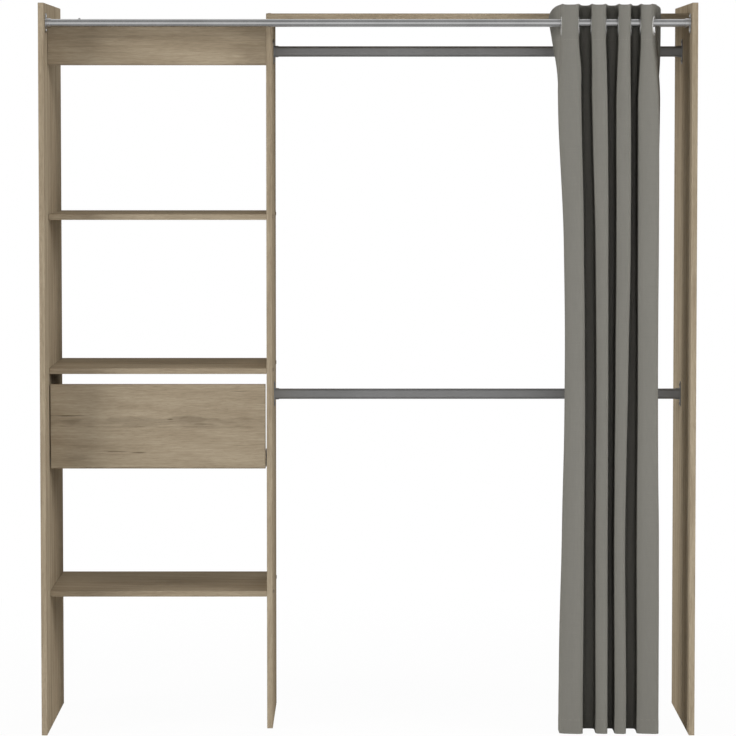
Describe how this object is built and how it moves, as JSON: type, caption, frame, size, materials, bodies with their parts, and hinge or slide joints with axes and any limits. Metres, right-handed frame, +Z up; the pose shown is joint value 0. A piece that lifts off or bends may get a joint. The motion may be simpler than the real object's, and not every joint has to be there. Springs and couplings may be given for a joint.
{
  "type": "open wardrobe",
  "caption": "Open wardrobe of oak boards with shelves and a drawer in a narrow bay, hanging rods in a wide bay, and a gathered curtain on a front rod.",
  "frame": {"origin": "on the floor, at the middle of the footprint of the two side panels", "axes": "+X to the right seen from the front, +Y towards the back, +Z up; the curtain side faces -Y"},
  "size_m": [1.8384, 0.6, 2.05],
  "materials": {
    "oak_board": "matt oak-grain melamine on board",
    "drawer_board": "matt pale oak melamine on board",
    "hardboard": "smooth hardboard",
    "satin_steel": "satin",
    "bright_steel": "bright",
    "zinc_sheet": "dull zinc",
    "white_nylon": "matt moulded",
    "cap_plastic": "matt moulded",
    "grey_cloth": "plain weave"
  },
  "bodies": {
    "carcass": {"side_panel_left": "oak_board", "side_panel_right": "oak_board", "partition": "oak_board", "top_board": "oak_board", "fascia": "oak_board", "upper_shelf": "oak_board", "middle_shelf": "oak_board", "lower_shelf": "oak_board", "upper_shelf_screw_left_front": "cap_plastic", "upper_shelf_screw_left_rear": "cap_plastic", "upper_shelf_screw_right_front": "cap_plastic", "upper_shelf_screw_right_rear": "cap_plastic", "middle_shelf_screw_left_front": "cap_plastic", "middle_shelf_screw_left_rear": "cap_plastic", "middle_shelf_screw_right_front": "cap_plastic", "middle_shelf_screw_right_rear": "cap_plastic", "lower_shelf_screw_left_front": "cap_plastic", "lower_shelf_screw_left_rear": "cap_plastic", "lower_shelf_screw_right_front": "cap_plastic", "lower_shelf_screw_right_rear": "cap_plastic", "fascia_screw_left": "cap_plastic", "fascia_screw_right": "cap_plastic", "top_board_screw_left_front": "cap_plastic", "top_board_screw_left_rear": "cap_plastic", "top_board_screw_right_front": "cap_plastic", "top_board_screw_right_rear": "cap_plastic", "curtain_rod": "satin_steel", "curtain_rod_stop_button": "satin_steel", "curtain_rod_flange_left": "satin_steel", "curtain_rod_flange_right": "satin_steel", "upper_hanging_rod": "satin_steel", "upper_rod_support_left": "satin_steel", "upper_rod_support_right": "satin_steel", "lower_hanging_rod": "satin_steel", "lower_rod_support_left": "satin_steel", "lower_rod_support_right": "satin_steel", "cabinet_runner_left": "zinc_sheet", "cabinet_runner_right": "zinc_sheet"},
    "drawer": {"drawer_front": "oak_board", "drawer_side_left": "drawer_board", "drawer_side_right": "drawer_board", "drawer_back": "drawer_board", "drawer_bottom": "hardboard", "drawer_runner_left": "zinc_sheet", "drawer_runner_right": "zinc_sheet"},
    "left_cabinet_roller": {"cabinet_roller_left": "white_nylon"},
    "right_cabinet_roller": {"cabinet_roller_right": "white_nylon"},
    "left_drawer_roller": {"drawer_roller_left": "white_nylon"},
    "right_drawer_roller": {"drawer_roller_right": "white_nylon"},
    "curtain": {"curtain": "grey_cloth", "eyelet_1": "bright_steel", "eyelet_2": "bright_steel", "eyelet_3": "bright_steel", "eyelet_4": "bright_steel", "eyelet_5": "bright_steel", "eyelet_6": "bright_steel", "eyelet_7": "bright_steel", "eyelet_8": "bright_steel"}
  },
  "joints": [
    {"name": "drawer_slide", "type": "slide", "parent": "carcass", "child": "drawer", "axis": [0, -1, 0], "range_m": [0, 0.27]},
    {"name": "curtain_slide", "type": "slide", "parent": "carcass", "child": "curtain", "axis": [1, 0, 0], "range_m": [-0.77, 0.06]},
    {"name": "left_cabinet_roller_spin", "type": "hinge", "parent": "carcass", "child": "left_cabinet_roller", "pos_m": [-0.8957, -0.1477, 0.7544], "axis": [1, 0, 0], "range_deg": [-10, 2080]},
    {"name": "right_cabinet_roller_spin", "type": "hinge", "parent": "carcass", "child": "right_cabinet_roller", "pos_m": [-0.2913, -0.1477, 0.7544], "axis": [1, 0, 0], "range_deg": [-10, 2080]},
    {"name": "left_drawer_roller_spin", "type": "hinge", "parent": "drawer", "child": "left_drawer_roller", "pos_m": [-0.8941, 0.1803, 0.7544], "axis": [1, 0, 0], "range_deg": [-10, 2080]},
    {"name": "right_drawer_roller_spin", "type": "hinge", "parent": "drawer", "child": "right_drawer_roller", "pos_m": [-0.2929, 0.1803, 0.7544], "axis": [1, 0, 0], "range_deg": [-10, 2080]}
  ],
  "couplings": [
    {"joint": "left_cabinet_roller_spin", "follows": "drawer_slide", "rad_per_m": 133.33},
    {"joint": "right_cabinet_roller_spin", "follows": "drawer_slide", "rad_per_m": 133.33},
    {"joint": "left_drawer_roller_spin", "follows": "drawer_slide", "rad_per_m": 133.33},
    {"joint": "right_drawer_roller_spin", "follows": "drawer_slide", "rad_per_m": 133.33}
  ]
}
